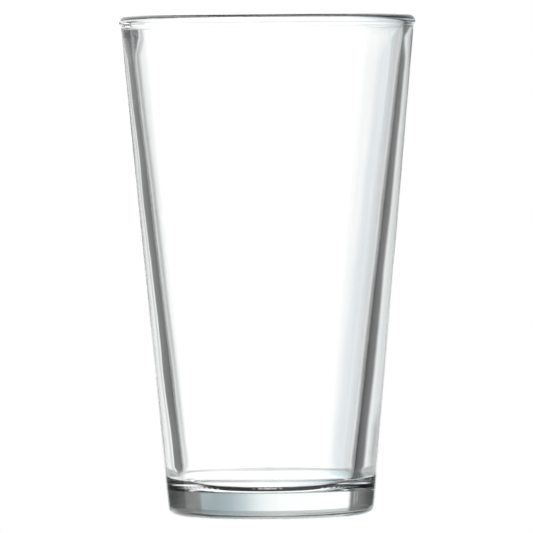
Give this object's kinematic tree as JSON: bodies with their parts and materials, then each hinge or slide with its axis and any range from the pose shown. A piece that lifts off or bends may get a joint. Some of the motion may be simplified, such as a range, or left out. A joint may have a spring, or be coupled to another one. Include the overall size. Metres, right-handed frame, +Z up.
{
  "type": "pint glass",
  "caption": "Clear straight-sided conical beer glass with a heavy flat base, rounded heel and beaded, fire-polished rim.",
  "frame": {"origin": "on the axis of the glass, in the plane of the ring that it stands on", "axes": "+Z up along the axis, towards the open mouth; the glass is round, so X and Y are alike"},
  "size_m": [0.088, 0.088, 0.148],
  "materials": {
    "clear_glass": "clear pressed soda-lime glass, fire-polished, smooth and glossy, with a faint grey-green tint in the thick base"
  },
  "bodies": {
    "root": {"glass_body": "clear_glass"}
  },
  "joints": []
}
